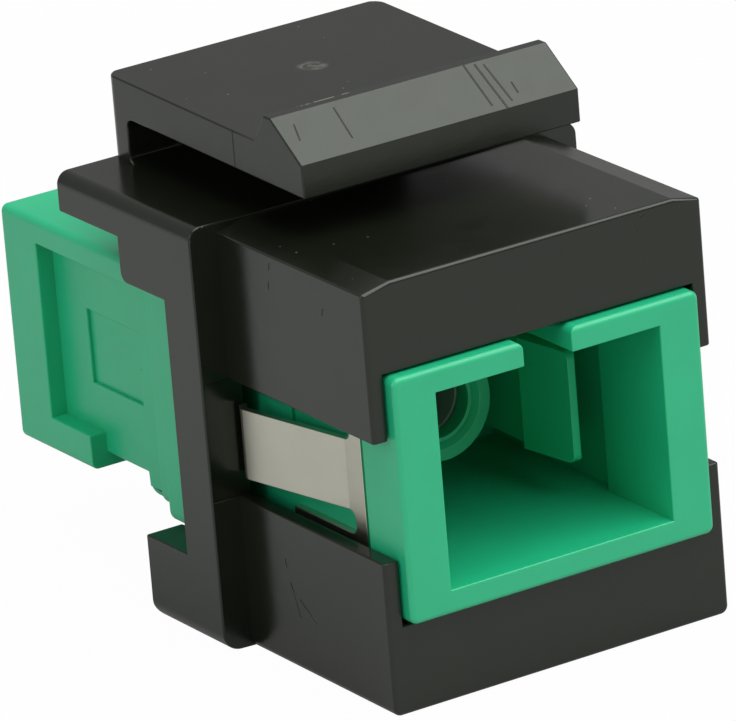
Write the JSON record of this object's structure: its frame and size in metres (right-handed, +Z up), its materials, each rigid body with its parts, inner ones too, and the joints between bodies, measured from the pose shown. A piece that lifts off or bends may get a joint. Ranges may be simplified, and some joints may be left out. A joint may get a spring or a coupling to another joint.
{
  "type": "sc fibre adapter in a keystone housing",
  "caption": "Push-pull fibre adapter with a port at each end, clipped in a black snap-in panel housing with a sprung wedge latch.",
  "frame": {"origin": "on the fibre axis, at the middle plane where the two adapter shells meet", "axes": "+Y along the fibre axis towards the rear port, -Y towards the front port and black face, +Z up to the latch side, +X to the right seen from the front"},
  "size_m": [0.0168, 0.027, 0.0205],
  "materials": {
    "black_plastic": "satin moulded",
    "green_plastic": "satin moulded",
    "white_ceramic": "polished ceramic",
    "spring_steel": "satin rolled sheet"
  },
  "bodies": {
    "adapter_body": {"keystone_housing": "black_plastic", "adapter_front_shell": "green_plastic", "adapter_rear_shell": "green_plastic", "front_latch_insert": "green_plastic", "rear_latch_insert": "green_plastic", "alignment_sleeve": "white_ceramic", "panel_spring_clip": "spring_steel"},
    "latch": {"keystone_latch": "black_plastic"}
  },
  "joints": [
    {"name": "latch_press", "type": "hinge", "parent": "adapter_body", "child": "latch", "pos_m": [0, 0.0051, 0.00822], "axis": [1, 0, 0], "range_deg": [0, 7], "stiffness_Nm_per_rad": 1.2}
  ]
}
